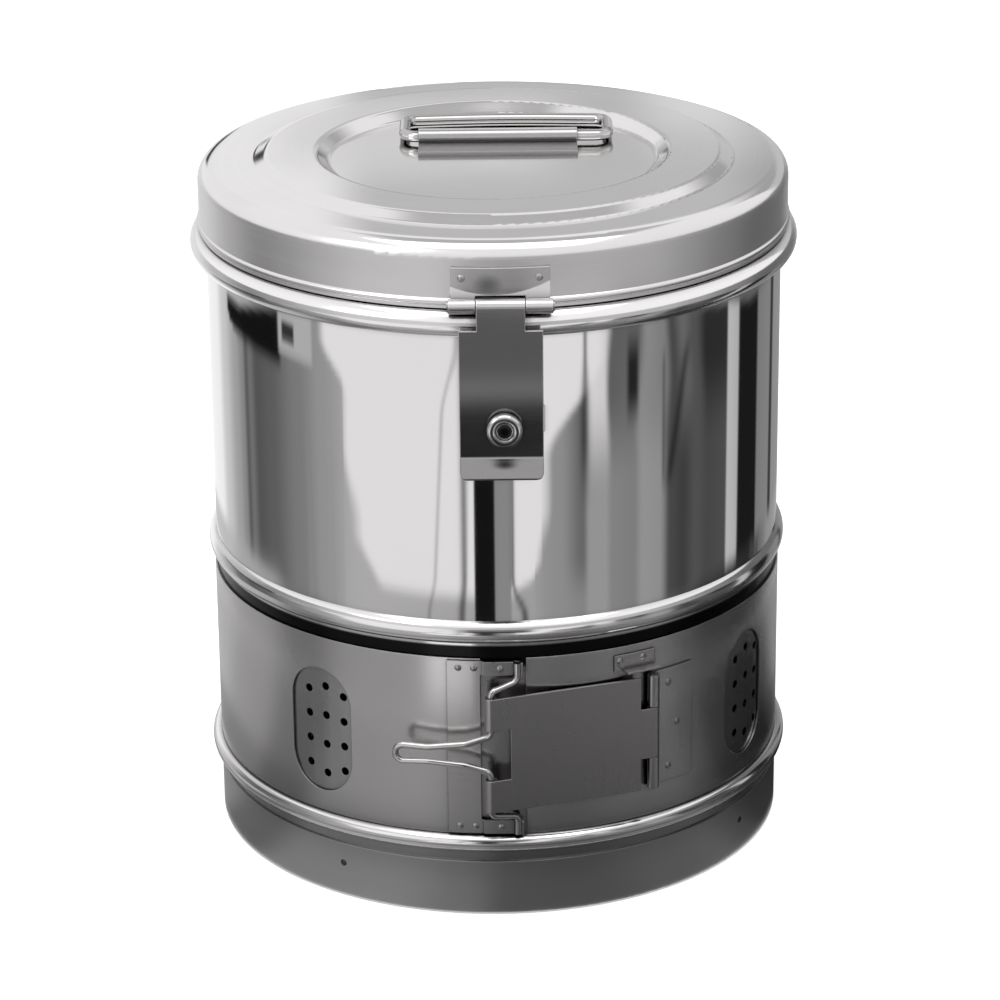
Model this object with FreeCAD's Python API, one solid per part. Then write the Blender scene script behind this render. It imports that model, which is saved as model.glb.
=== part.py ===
import FreeCAD, Part
import math
import os

from FreeCAD import Vector

os.makedirs("parts", exist_ok=True)

# A stainless dressing drum for steam sterilizing, in millimetres. The frame's origin is on the drum's
# axis in the plane that it stands on. +Z is up, and the front with the hasp faces -Y.
# An azimuth is an angle in degrees about the axis, 0 at the front and growing towards +X.

# Drum body
drum_radius = 114.5
shell_sheet = 0.8
shell_foot_z = 1.4
mouth_z = 260.0
mouth_bead = 1.2

# Hoops round the body: half-round, rolled from sheet and open towards the shell
hoop_sheet = 0.8
hoop_lip = 1.0
rim_hoop_drop = 14.0
rim_hoop_height = 11.0
rim_hoop_bulge = 6.3
mid_hoop_z = 120.4
mid_hoop_height = 9.4
mid_hoop_bulge = 2.9
low_hoop_z = 31.8
low_hoop_height = 6.6
low_hoop_bulge = 4.4

# Base
skirt_sheet = 0.9
skirt_height = 23.2
skirt_hem = 3.0
skirt_rivet_z = 14.6
skirt_rivet_azimuth = -32.5
skirt_rivet_count = 4
base_sheet = 0.8
base_floor_z = 12.0
base_flange = 8.0
base_corner = 3.0
base_boss_radius = 86.0
base_boss_rise = 2.4

# Steam vents: obround windows in the band over fields of holes in the shell
vent_middle_azimuth = 11.9
vent_azimuth_spread = 48.0
vent_azimuth_step = -1.2
vent_drop = 2.2
vent_width = 29.6
vent_height = 52.4
hole_radius = 1.7
hole_column_pitch = 8.5
outer_column_pitch = 10.6
centre_column_pitch = 12.4
holes_per_column = 4

# Shutter band, which rests on the lower hoop and turns round the shell with play above it
band_sheet = 0.8
band_fit = 0.1
band_seat_gap = 0.3
band_play = 5.8
band_left_azimuth = -3.4
band_right_azimuth = 5.4

# Toggle clasp that draws the band's ends together
clasp_sheet = 1.0
wire_radius = 1.3
curl_fit = 0.06
plate_margin = 6.9
plate_edge_azimuth_step = 2.0
plate_edge_standoff = 8.0
hinge_azimuth = 30.8
hinge_leaf_azimuth_span = 10.0
hinge_bare = 0.3
plate_end_setback = 6.0
plate_tab_half = 10.5
knuckle_gap = 0.3
notch_room = 1.7
notch_depth = 7.6
curl_slit = 0.7
hinge_leaf_room = 0.5
leaf_rivet_azimuth_step = 4.1
leaf_rivet_inset = 6.0
leaf_middle_azimuth_step = 6.2
bracket_sheet = 0.8
bracket_azimuth_span = 6.4
bracket_margin = 0.8
bracket_rivet_azimuths = (-4.2, -1.2)
strap_height = 5.6
strap_fold_azimuth_step = 0.5
strap_rivet_azimuth_step = 3.8
lever_azimuth_step = 7.0
lever_seat_fit = 0.12
lever_seat_rise = 0.5
lever_end_inset = 0.2
lever_bend = 2.8
lever_elbow_drop = 2.2
lever_shoulder_rise = 2.2
lever_neck_half = 7.6
loop_neck_reach = 10.0
loop_neck_half = 4.5
loop_neck_bend = 7.0
loop_waist_reach = 24.4
loop_waist_half = 3.0
loop_waist_bend = 10.0
loop_waist_dip = 1.2
loop_tip_reach = 37.0
loop_tip_half = 3.5
loop_tip_dip = 3.4
loop_tip_flat = 0.3

# Finger tab for turning the band
tab_azimuth = 22.9
tab_lip_azimuth_step = 1.7
tab_azimuth_span = 8.7
tab_drop = 3.2
tab_foot_height = 6.6
tab_lip_reach = 5.4
tab_rivet_azimuths = (1.1, 6.1)
tab_rivet_rise = 4.1

# Rivets
rivet_head = 1.4
rivet_dome = 0.5
rivet_shank = 0.8

# Lid
lid_sheet = 0.8
lid_gap = 1.7
lid_rise = 17.2
lid_corner = 6.5
lid_seat_gap = 0.3
lid_bead_rise = 2.5
lid_bead_height = 2.8
lid_bead_bulge = 0.8
ring_outer_radius = 95.0
ring_inner_radius = 70.0
ring_rise = 3.0
recess_drop = 1.2
emboss_run = 5.0
emboss_bend = 3.0

# Hinges at the lid: the hasp in front and the lid's own hinge behind
hinge_sheet = 1.2
hinge_pin_radius = 1.6
pin_fit = 0.05
knuckle_clearance = 0.55
knuckle_room = 1.4
knuckle_overhang = 1.0
knuckle_middle = 18.2
hinge_line_rise = 8.2
wall_leaf_rise = 13.8
wall_leaf_width = 37.0
wall_web_angle = 20.0
wall_rivet_inset = 4.0
pin_head = 0.5
pin_head_spread = 0.6
hasp_offset = 2.3
hasp_width = 31.4
hasp_shoulder = 8.8
hasp_drop = 59.2
hasp_lip_length = 9.0
hasp_lip_angle = 42.0
hasp_bend = 1.4
hasp_lip_corner = 3.2
body_leaf_joggle = 14.0
body_leaf_drop = 41.2
body_leaf_width = 34.0
body_rivet_inset = 5.0

# Turn knob on the hasp, with its tongue, and the keeper behind it on the shell
knob_step = 1.1
knob_rise = 12.2
knob_radius = 6.6
knob_height = 4.4
knob_foot_inset = 0.8
knob_foot_rise = 1.2
knob_rim_width = 2.9
knob_rim_bend = 1.4
knob_dish = 1.3
knob_dish_run = 0.6
knob_stem_radius = 2.2
knob_fit = 0.05
knob_collar_gap = 0.2
tongue_sheet = 1.2
tongue_length = 15.0
tongue_width = 5.2
tongue_standoff = 4.0
tongue_gap = 0.4
keeper_sheet = 1.0
keeper_mouth_room = 2.0
keeper_riser_room = 0.7
keeper_foot = 6.0
keeper_half_height = 5.0

# Lid handle: a wire bail held in a rolled cleat that is welded in the lid's recess
bail_radius = 2.3
bail_fit = 0.06
cleat_sheet = 0.9
cleat_width = 63.4
cleat_flange = 17.0
cleat_axis_y = 20.0
cleat_shift = 2.1
bail_end_room = 0.2
bail_shift = 3.4
bail_depth = 25.5
bail_bow = 3.0
bail_corner = 5.5
bail_bow_radius = 280.0
bail_floor_gap = 0.3

# Worked-out values
shell_inner = drum_radius - shell_sheet
skirt_outer = drum_radius + skirt_sheet
rim_hoop_z = mouth_z - rim_hoop_drop
low_hoop_top = low_hoop_z + low_hoop_height / 2
mid_hoop_foot = mid_hoop_z - mid_hoop_height / 2
band_inner = drum_radius + band_fit
band_outer = band_inner + band_sheet
band_foot = low_hoop_top + band_seat_gap
band_top = mid_hoop_foot - band_play
vent_z = (band_foot + band_top) / 2 - vent_drop
vent_azimuths = [middle + side * vent_azimuth_spread
                 for middle in (vent_middle_azimuth, vent_middle_azimuth + 180) for side in (-1, 1)]
clasp_z = (band_foot + band_top) / 2
bracket_half_height = (band_top - band_foot) / 2 - bracket_margin
bracket_azimuth = band_left_azimuth - bracket_azimuth_span
strap_low = bracket_half_height - strap_height
strap_middle = bracket_half_height - strap_height / 2
plate_half_height = strap_low - plate_margin
plate_edge_azimuth = band_left_azimuth + plate_edge_azimuth_step
lever_azimuth = band_left_azimuth + lever_azimuth_step
hinge_leaf_azimuth = hinge_azimuth + hinge_leaf_azimuth_span
tab_end_azimuth = tab_azimuth + tab_azimuth_span
lid_inner = drum_radius + lid_gap
lid_radius = lid_inner + lid_sheet
lid_top_z = mouth_z + lid_rise
recess_z = lid_top_z - recess_drop
knuckle_radius = hinge_pin_radius + pin_fit + hinge_sheet
hinge_axis_radius = lid_radius + lid_bead_bulge + knuckle_clearance + knuckle_radius
hinge_axis_z = rim_hoop_z + hinge_line_rise
knuckle_row = wall_leaf_width + 2 * knuckle_overhang
wall_leaf_top_z = hinge_axis_z + wall_leaf_rise
shoulder_z = hinge_axis_z - hasp_shoulder
hasp_lip_z = hinge_axis_z - hasp_drop
knob_z = hasp_lip_z + knob_rise
knob_x = hasp_offset + knob_step
keeper_mouth = tongue_width + 2 * keeper_mouth_room
keeper_riser_x = tongue_length / 2 + keeper_riser_room
leaf_back = hinge_axis_radius + knuckle_radius - hinge_sheet
leaf_face = leaf_back + hinge_sheet
clasp_bore = wire_radius + curl_fit
clasp_roll = clasp_bore + clasp_sheet
hinge_radius = band_outer + hinge_bare + clasp_roll
edge_radius = drum_radius + plate_edge_standoff
seat_bore = wire_radius + lever_seat_fit
seat_roll = seat_bore + bracket_sheet
lever_radius = band_outer + seat_roll
notch_half_height = lever_neck_half + wire_radius + notch_room
tab_foot_z = band_top - tab_drop - tab_foot_height
bail_bore = bail_radius + bail_fit
cleat_roll = bail_bore + cleat_sheet
bail_axis_z = recess_z + cleat_roll
bail_half_length = cleat_width / 2 + bail_corner + bail_end_room + bail_shift
UP = Vector(0, 0, 1)
ORIGIN = Vector(0, 0, 0)


def spot(azimuth, radius, z=0.0):
    """The point at an azimuth, a distance from the axis and a height."""
    angle = math.radians(azimuth)
    return Vector(radius * math.sin(angle), -radius * math.cos(angle), z)


def rounded(corners, closed=True):
    """A wire through corners, each a point and its bend radius, with tangent arcs at the bends."""
    points = [point for point, bend in corners]
    count = len(corners)
    starts, ends, arcs = [], [], []
    for i, (point, bend) in enumerate(corners):
        inner = closed or 0 < i < count - 1
        if not inner or bend <= 0:
            starts.append(point)
            ends.append(point)
            arcs.append(None)
            continue
        back = (points[i - 1] - point).normalize()
        ahead = (points[(i + 1) % count] - point).normalize()
        half = math.acos(max(-1.0, min(1.0, back.dot(ahead)))) / 2
        reach = bend / math.tan(half)
        centre = point + (back + ahead).normalize() * (bend / math.sin(half))
        middle = centre + (point - centre).normalize() * bend
        starts.append(point + back * reach)
        ends.append(point + ahead * reach)
        arcs.append(Part.Arc(starts[-1], middle, ends[-1]).toShape())
    edges = []
    for i in range(count):
        if arcs[i]:
            edges.append(arcs[i])
        following = (i + 1) % count
        if (closed or following) and ends[i].distanceToPoint(starts[following]) > 1e-6:
            edges.append(Part.makeLine(ends[i], starts[following]))
    return Part.Wire(edges)


def section(corners):
    """A flat face in the XZ plane from (radius, z, bend) corners."""
    return Part.Face(rounded([(Vector(r, 0, z), bend) for r, z, bend in corners]))


def turned(face):
    """A full turn of a face about the drum's axis."""
    return face.revolve(ORIGIN, UP, 360)


def ring(inner, outer, low, high):
    """A plain ring between two radii and two heights."""
    body = Part.makeCylinder(outer, high - low, Vector(0, 0, low))
    return body.cut(Part.makeCylinder(inner, high - low, Vector(0, 0, low)))


def sector(inner, outer, start, end, low, high):
    """A piece of a ring from one azimuth to another."""
    wedge = Part.makeCylinder(outer, high - low, Vector(0, 0, low), UP, end - start)
    wedge.rotate(ORIGIN, UP, start - 90)
    return wedge.cut(Part.makeCylinder(inner, high - low, Vector(0, 0, low)))


def post(radius, centre, low, high):
    """An upright cylinder through a point of the plan."""
    return Part.makeCylinder(radius, high - low, Vector(centre.x, centre.y, low))


def bar(radius, x_low, x_high, y, z):
    """A cylinder that lies along X."""
    return Part.makeCylinder(radius, x_high - x_low, Vector(x_low, y, z), Vector(1, 0, 0))


def block(x_low, x_high, y_low, y_high, z_low, z_high):
    """A box from its limits."""
    return Part.makeBox(x_high - x_low, y_high - y_low, z_high - z_low, Vector(x_low, y_low, z_low))


def bent_sheet(path, sheet, bend, x_low, x_high):
    """Sheet metal with a side view in the YZ plane: the path is its left face, and the sheet lies
    to the path's right; the inner bends have the given radius."""
    points = [Vector(0, y, z) for y, z in path]
    left, right = [], []
    for i, point in enumerate(points):
        near = [points[i] - points[i - 1]] if i > 0 else []
        far = [points[i + 1] - points[i]] if i < len(points) - 1 else []
        runs = [run.normalize() for run in near + far]
        sides = [Vector(0, run.z, -run.y) for run in runs]
        if len(sides) == 1:
            left.append((point, 0))
            right.append((point + sides[0] * sheet, 0))
            continue
        miter = (sides[0] + sides[1]) * (sheet / (1 + sides[0].dot(sides[1])))
        turn = runs[0].y * runs[1].z - runs[0].z * runs[1].y
        left.append((point, bend if turn > 0 else bend + sheet))
        right.append((point + miter, bend + sheet if turn > 0 else bend))
    face = Part.Face(rounded(left + right[::-1]))
    face.translate(Vector(x_low, 0, 0))
    return face.extrude(Vector(x_high - x_low, 0, 0))


def wire_sweep(corners, radius, closed=False):
    """Round wire along a path of straight runs and tangent bends."""
    path = rounded(corners, closed)
    first = path.Edges[0]
    start = first.valueAt(first.FirstParameter)
    heading = first.tangentAt(first.FirstParameter)
    profile = Part.Wire([Part.Circle(start, heading, radius).toShape()])
    return path.makePipeShell([profile], True, False)


def aimed(shape, place, direction):
    """A shape made at the origin along +Z, moved to a place and turned to a direction."""
    placed = shape.copy()
    placed.Placement = FreeCAD.Placement(place, FreeCAD.Rotation(UP, direction))
    return placed


def rivet(place, direction, grip):
    """A round-headed rivet: the head stands on place and the shank goes back through the grip."""
    rim, top, tail = Vector(rivet_head, 0, 0), Vector(0, 0, rivet_dome), Vector(0, 0, -grip)
    ball = (rivet_head**2 + rivet_dome**2) / (2 * rivet_dome)
    lean = math.asin(rivet_head / ball) / 2
    crown = Vector(ball * math.sin(lean), 0, rivet_dome - ball * (1 - math.cos(lean)))
    outline = [Part.makeLine(tail, tail + Vector(rivet_shank, 0, 0)),
               Part.makeLine(tail + Vector(rivet_shank, 0, 0), Vector(rivet_shank, 0, 0)),
               Part.makeLine(Vector(rivet_shank, 0, 0), rim),
               Part.Arc(rim, crown, top).toShape(),
               Part.makeLine(top, tail)]
    body = Part.Face(Part.Wire(outline)).revolve(ORIGIN, UP, 360)
    return aimed(body, place, direction)


def drilled(shape, places, grip):
    """A shape with the holes of its rivets; places are (seat, direction) pairs."""
    for place, direction in places:
        drill = Part.makeCylinder(rivet_shank, 2 * grip, Vector(0, 0, -1.5 * grip))
        shape = shape.cut(aimed(drill, place, direction))
    return shape


def riveted(places, grip):
    """The rivets of one joint as a group of separate solids."""
    return Part.makeCompound([rivet(place, direction, grip) for place, direction in places])


def radial_places(spots, radius):
    """Seats on a cylinder about the axis, from (azimuth, z) pairs, facing outwards."""
    return [(spot(azimuth, radius, z), spot(azimuth, 1)) for azimuth, z in spots]


def turned_about(shape):
    """The same shape on the other side of the drum."""
    behind = shape.copy()
    behind.rotate(ORIGIN, UP, 180)
    return behind


def save(name, shape):
    shape.exportStep("parts/%s.step" % name)


# Base: foot skirt, base pan and the skirt's rivets
skirt_places = radial_places([(skirt_rivet_azimuth + 360 / skirt_rivet_count * i, skirt_rivet_z)
                              for i in range(skirt_rivet_count)], skirt_outer)
skirt_grip = skirt_sheet + shell_sheet


def foot_skirt():
    """The outer skirt, turned in at its foot to the rim that the drum stands on."""
    foot_inner = skirt_outer - skirt_hem
    return turned(section([
        (drum_radius, skirt_height, 0), (drum_radius, skirt_sheet, 0), (foot_inner, skirt_sheet, 0),
        (foot_inner, 0, 0), (skirt_outer, 0, skirt_sheet), (skirt_outer, skirt_height, 0)]))


def base_pan():
    """The drum's bottom: a flanged disc with a raised middle."""
    outer = shell_inner
    low, high = base_floor_z, base_floor_z + base_sheet
    boss_foot = base_boss_radius + base_boss_rise
    return turned(section([
        (0, low + base_boss_rise, 0), (base_boss_radius, low + base_boss_rise, base_corner),
        (boss_foot, low, base_corner), (outer - base_sheet, low, base_corner - base_sheet),
        (outer - base_sheet, low - base_flange, 0), (outer, low - base_flange, 0),
        (outer, high, base_corner), (boss_foot, high, base_corner),
        (base_boss_radius, high + base_boss_rise, base_corner), (0, high + base_boss_rise, 0)]))


# Shell with its vents, and the hoops
def vent_spots():
    """Azimuth and height of every hole: the middle column of each field is spread wider."""
    spots = []
    for middle in vent_azimuths:
        for column in (-1, 0, 1):
            azimuth = middle + math.degrees(column * hole_column_pitch / drum_radius)
            pitch = outer_column_pitch if column else centre_column_pitch
            for row in range(holes_per_column):
                spots.append((azimuth, vent_z + (row - (holes_per_column - 1) / 2) * pitch))
    return spots


def drum_shell():
    """The shell, open at both ends, with a beaded mouth, the vents' holes and its rivets' holes."""
    bead_side = mouth_bead - shell_sheet
    bead_foot = mouth_z - math.sqrt(mouth_bead**2 - bead_side**2)
    centre = drum_radius - mouth_bead
    outline = [
        Part.makeLine(Vector(shell_inner, 0, shell_foot_z), Vector(drum_radius, 0, shell_foot_z)),
        Part.makeLine(Vector(drum_radius, 0, shell_foot_z), Vector(drum_radius, 0, mouth_z)),
        Part.Arc(Vector(drum_radius, 0, mouth_z), Vector(centre, 0, mouth_z + mouth_bead),
                 Vector(centre - mouth_bead, 0, mouth_z)).toShape(),
        Part.Arc(Vector(centre - mouth_bead, 0, mouth_z), Vector(centre, 0, mouth_z - mouth_bead),
                 Vector(shell_inner, 0, bead_foot)).toShape(),
        Part.makeLine(Vector(shell_inner, 0, bead_foot), Vector(shell_inner, 0, shell_foot_z))]
    shell = turned(Part.Face(Part.Wire(outline)))
    drills = []
    for azimuth, z in vent_spots():
        drills.append(Part.makeCylinder(hole_radius, 4 * shell_sheet,
                                        spot(azimuth, shell_inner - shell_sheet, z), spot(azimuth, 1)))
    shell = shell.cut(Part.makeCompound(drills))
    shell = drilled(shell, skirt_places, skirt_grip)
    shell = drilled(shell, keeper_places, keeper_grip)
    return drilled(shell, body_leaf_places, body_leaf_grip)


def hoop(middle, height, bulge):
    """A half-round hoop of rolled sheet round the shell."""
    half, lip, base = height / 2, hoop_lip, drum_radius
    outer = Part.Arc(Vector(base, 0, middle - half), Vector(base + bulge, 0, middle),
                     Vector(base, 0, middle + half)).toShape()
    inner = Part.Arc(Vector(base, 0, middle + half - lip), Vector(base + bulge - hoop_sheet, 0, middle),
                     Vector(base, 0, middle - half + lip)).toShape()
    ends = [Part.makeLine(Vector(base, 0, middle + half), Vector(base, 0, middle + half - lip)),
            Part.makeLine(Vector(base, 0, middle - half + lip), Vector(base, 0, middle - half))]
    return turned(Part.Face(Part.Wire([outer, ends[0], inner, ends[1]])))


def hoop_height_at(radius, middle, height, bulge):
    """Height of a hoop's upper surface at a distance from the axis."""
    ball = (height**2 / 4 + bulge**2) / (2 * bulge)
    centre = drum_radius + bulge - ball
    return middle + math.sqrt(ball**2 - (radius - centre)**2)


lid_foot_z = lid_seat_gap + hoop_height_at(lid_inner, rim_hoop_z, rim_hoop_height, rim_hoop_bulge)
lid_bead_z = lid_foot_z + lid_bead_rise


# Lid pan
def lid_outline(inset):
    """Closed section under the lid's surface, moved inwards by inset."""
    wall = lid_radius - inset
    top = lid_top_z - inset
    hollow = emboss_bend + inset
    crest = max(emboss_bend - inset, 0.5)
    return section([
        (0, lid_foot_z, 0), (wall, lid_foot_z, 0), (wall, top, lid_corner - inset),
        (ring_outer_radius, top, hollow), (ring_outer_radius - emboss_run, top + ring_rise, crest),
        (ring_inner_radius, top + ring_rise, crest),
        (ring_inner_radius - emboss_run, top - recess_drop, hollow), (0, top - recess_drop, 0)])


def lid_pan():
    """The pressed lid, with a raised ring, a recess for the handle and a bead round its foot."""
    pan = turned(lid_outline(0)).cut(turned(lid_outline(lid_sheet)))
    low, high = lid_bead_z - lid_bead_height / 2, lid_bead_z + lid_bead_height / 2
    bead = Part.Arc(Vector(lid_radius, 0, low), Vector(lid_radius + lid_bead_bulge, 0, lid_bead_z),
                    Vector(lid_radius, 0, high)).toShape()
    root = lid_radius - lid_sheet / 2
    flat = [Part.makeLine(Vector(lid_radius, 0, high), Vector(root, 0, high)),
            Part.makeLine(Vector(root, 0, high), Vector(root, 0, low)),
            Part.makeLine(Vector(root, 0, low), Vector(lid_radius, 0, low))]
    pan = pan.fuse(turned(Part.Face(Part.Wire([bead] + flat))))
    pan = drilled(pan, wall_places(hasp_offset), wall_grip)
    return drilled(pan, [(turned_point(place), turned_point(way)) for place, way in wall_places(0)],
                   wall_grip)


def turned_point(point):
    return Vector(-point.x, -point.y, point.z)


# Leaves on the lid's wall, which the hasp and the lid's own hinge both have
wall_grip = hinge_sheet + lid_sheet


def wall_places(offset):
    """Seats of the two rivets of a wall leaf."""
    seat = lid_radius + hinge_sheet
    across = wall_leaf_width / 2 - wall_rivet_inset
    azimuths = [math.degrees(math.asin((offset + side * across) / seat)) for side in (-1, 1)]
    return radial_places([(azimuth, wall_leaf_top_z - wall_rivet_inset) for azimuth in azimuths], seat)


def wall_leaf(offset):
    """A leaf formed to the lid's wall; below the pad it leans out and curls forward round the pin."""
    half, row = wall_leaf_width / 2, knuckle_row / 2
    outer = lid_radius + hinge_sheet
    slant = math.radians(wall_web_angle)
    along = Vector(0, math.sin(slant), math.cos(slant))
    rear = Vector(0, math.cos(slant), -math.sin(slant))
    axis = Vector(0, -hinge_axis_radius, hinge_axis_z)
    wall_depth = hinge_axis_radius - math.sqrt(lid_inner**2 - (half + abs(offset))**2)
    web_run = (wall_depth - knuckle_radius * math.cos(slant)) / math.sin(slant)
    near = [axis + rear * knuckle_radius, axis + rear * (knuckle_radius - hinge_sheet)]
    web = Part.Face(Part.makePolygon([near[0], near[0] + along * web_run, near[1] + along * web_run,
                                      near[1], near[0]]))
    web.translate(Vector(offset - half, 0, 0))
    web = web.extrude(Vector(2 * half, 0, 0)).cut(Part.makeCylinder(lid_radius, lid_top_z, ORIGIN))
    pad_foot = near[0].z + (-lid_radius - near[0].y) / math.tan(slant)
    pad = ring(lid_radius, outer, pad_foot, wall_leaf_top_z).common(
        block(offset - half, offset + half, -2 * outer, 0, pad_foot, wall_leaf_top_z))
    barrel = bar(knuckle_radius, offset - row, offset + row, axis.y, axis.z)
    middle = knuckle_middle / 2 + knuckle_gap
    room = bar(knuckle_radius + knuckle_room, offset - middle, offset + middle, axis.y, axis.z)
    bore = bar(hinge_pin_radius + pin_fit, offset - row, offset + row, axis.y, axis.z)
    leaf = pad.fuse(web).fuse(barrel).cut(room).cut(bore).removeSplitter()
    return drilled(leaf, wall_places(offset), wall_grip)


def hinge_pin(offset):
    """A pin through the knuckles, with its ends spread over the row's ends."""
    row = knuckle_row / 2
    pin = bar(hinge_pin_radius, offset - row - pin_head, offset + row + pin_head, -hinge_axis_radius,
              hinge_axis_z)
    for side in (-1, 1):
        end = offset + side * (row + pin_head / 2)
        pin = pin.fuse(bar(hinge_pin_radius + pin_head_spread, end - pin_head / 2, end + pin_head / 2,
                           -hinge_axis_radius, hinge_axis_z))
    return pin


def middle_knuckle(offset):
    """The knuckle that turns between the wall leaf's two, and its bore."""
    low, high = offset - knuckle_middle / 2, offset + knuckle_middle / 2
    outside = bar(knuckle_radius, low, high, -hinge_axis_radius, hinge_axis_z)
    return outside, bar(hinge_pin_radius + pin_fit, low, high, -hinge_axis_radius, hinge_axis_z)


def shouldered(sheet, offset, half):
    """A hanging sheet narrowed beside the middle knuckle, down to the shoulders."""
    for side in (-1, 1):
        edges = sorted((offset + side * knuckle_middle / 2, offset + side * 2 * half))
        sheet = sheet.cut(block(edges[0], edges[1], -2 * leaf_face, 0, shoulder_z, 2 * hinge_axis_z))
    return sheet


# Hasp leaf with its finger lip
def hasp_leaf():
    """The hanging leaf: a knuckle and neck, the wide leaf, and a lip bent out for the finger."""
    half = hasp_width / 2
    lean = math.radians(hasp_lip_angle)
    lip_y = -leaf_back - hasp_lip_length * math.sin(lean)
    lip_z = hasp_lip_z - hasp_lip_length * math.cos(lean)
    sheet = bent_sheet([(-leaf_back, hinge_axis_z), (-leaf_back, hasp_lip_z), (lip_y, lip_z)],
                       hinge_sheet, hasp_bend, hasp_offset - half, hasp_offset + half)
    outside, bore = middle_knuckle(hasp_offset)
    sheet = shouldered(sheet, hasp_offset, half).fuse(outside).cut(bore).removeSplitter()
    stem = Part.makeCylinder(knob_stem_radius + knob_fit, 4 * hinge_sheet,
                             Vector(knob_x, -leaf_back + hinge_sheet, knob_z), Vector(0, -1, 0))
    return sheet.cut(hasp_corner_trim(lip_z)).cut(stem)


def hasp_corner_trim(lip_z):
    """What rounding takes off the lip's two lower corners, seen from the front."""
    cut = []
    centre_z = lip_z + hasp_lip_corner
    for side in (-1, 1):
        corner_x = hasp_offset + side * hasp_width / 2
        centre_x = corner_x - side * hasp_lip_corner
        edges = sorted((centre_x, corner_x + side * hasp_lip_corner))
        piece = block(edges[0], edges[1], -2 * leaf_face, -leaf_back, lip_z - hasp_lip_corner, centre_z)
        keep = Part.makeCylinder(hasp_lip_corner, 2 * leaf_face, Vector(centre_x, 0, centre_z),
                                 Vector(0, -1, 0))
        cut.append(piece.cut(keep))
    return Part.makeCompound(cut)


# Turn knob, tongue and keeper
def turn_knob():
    """A dished button on a stem that passes through the leaf to the tongue behind it."""
    base = knob_collar_gap
    tail = -(leaf_back - drum_radius - tongue_standoff) - hinge_sheet
    crown = base + knob_height
    rim_in = knob_radius - knob_rim_width
    corners = [(0, tail, 0), (knob_stem_radius, tail, 0), (knob_stem_radius, base, 0),
               (knob_radius - knob_foot_inset, base, 0),
               (knob_radius, base + knob_foot_rise, knob_foot_rise / 2),
               (knob_radius, crown, knob_rim_bend), (rim_in, crown, knob_rim_bend),
               (rim_in - knob_dish_run, crown - knob_dish, knob_foot_rise / 2),
               (0, crown - knob_dish, 0)]
    knob = turned(section(corners))
    return aimed(knob, Vector(knob_x, -leaf_face, knob_z), Vector(0, -1, 0))


def knob_tongue():
    """The bar on the stem's end that turns in behind the keeper's lips."""
    face = drum_radius + tongue_standoff + tongue_sheet
    long, wide = tongue_length / 2, tongue_width / 2
    bar_body = block(knob_x - wide, knob_x + wide, -face, -face + tongue_sheet, knob_z - long,
                     knob_z + long)
    ends = Part.makeCylinder(long, tongue_sheet, Vector(knob_x, -face + tongue_sheet, knob_z),
                             Vector(0, -1, 0))
    stem = Part.makeCylinder(knob_stem_radius, face, Vector(knob_x, 0, knob_z), Vector(0, -1, 0))
    return bar_body.common(ends).cut(stem)


keeper_grip = keeper_sheet + shell_sheet
keeper_rivet_x = keeper_riser_x + keeper_sheet + keeper_foot / 2
keeper_places = radial_places(
    [(math.degrees(math.asin((knob_x + side * keeper_rivet_x) / drum_radius)), knob_z)
     for side in (-1, 1)], drum_radius + keeper_sheet)


def keeper_clip(side):
    """One stepped clip: a foot on the shell, a riser, and a lip in front of the tongue's end."""
    lip_back = drum_radius + tongue_standoff + tongue_sheet + tongue_gap
    lip_face = lip_back + keeper_sheet
    low, high = knob_z - keeper_half_height, knob_z + keeper_half_height

    def span(near, far):
        edges = sorted((knob_x + side * near, knob_x + side * far))
        return edges[0], edges[1]

    x_low, x_high = span(keeper_riser_x, keeper_riser_x + keeper_sheet + keeper_foot)
    foot = ring(drum_radius, drum_radius + keeper_sheet, low, high).common(
        block(x_low, x_high, -2 * drum_radius, 0, low, high))
    x_low, x_high = span(keeper_riser_x, keeper_riser_x + keeper_sheet)
    riser = block(x_low, x_high, -lip_face, 0, low, high)
    riser = riser.cut(Part.makeCylinder(drum_radius, high, ORIGIN))
    x_low, x_high = span(keeper_mouth / 2, keeper_riser_x + keeper_sheet)
    lip = block(x_low, x_high, -lip_face, -lip_back, low, high)
    clip = foot.fuse(riser).fuse(lip).removeSplitter()
    return drilled(clip, keeper_places, keeper_grip)


# Lid hinge's leaf on the body
body_leaf_grip = hinge_sheet + shell_sheet
body_leaf_seat = drum_radius + hinge_sheet
body_leaf_joggle_z = hinge_axis_z - body_leaf_joggle
body_leaf_foot_z = hinge_axis_z - body_leaf_drop
body_pad_top_z = body_leaf_joggle_z - (leaf_back - drum_radius)
body_rivet_azimuth = math.degrees(math.asin((body_leaf_width / 2 - body_rivet_inset) / body_leaf_seat))
body_leaf_places = radial_places([(180 + side * body_rivet_azimuth, z) for side in (-1, 1)
                                  for z in (body_leaf_foot_z + body_rivet_inset,
                                            body_pad_top_z - body_rivet_inset)], body_leaf_seat)


def body_leaf():
    """The leaf behind: over the rim hoop, stepped in below it and riveted to the shell."""
    half = body_leaf_width / 2
    sink = body_leaf_seat - math.sqrt(drum_radius**2 - half**2)
    hang = bent_sheet([(-leaf_back, hinge_axis_z), (-leaf_back, body_leaf_joggle_z),
                       (-drum_radius + sink, body_pad_top_z - sink)], hinge_sheet, hasp_bend, -half, half)
    pad = ring(drum_radius, body_leaf_seat, body_leaf_foot_z, body_pad_top_z).common(
        block(-half, half, -2 * body_leaf_seat, 0, body_leaf_foot_z, body_pad_top_z))
    outside, bore = middle_knuckle(0)
    hang = shouldered(hang, 0, half).cut(Part.makeCylinder(drum_radius, mouth_z, ORIGIN))
    leaf = turned_about(hang.fuse(pad).fuse(outside).cut(bore).removeSplitter())
    return drilled(leaf, body_leaf_places, body_leaf_grip)


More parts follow.
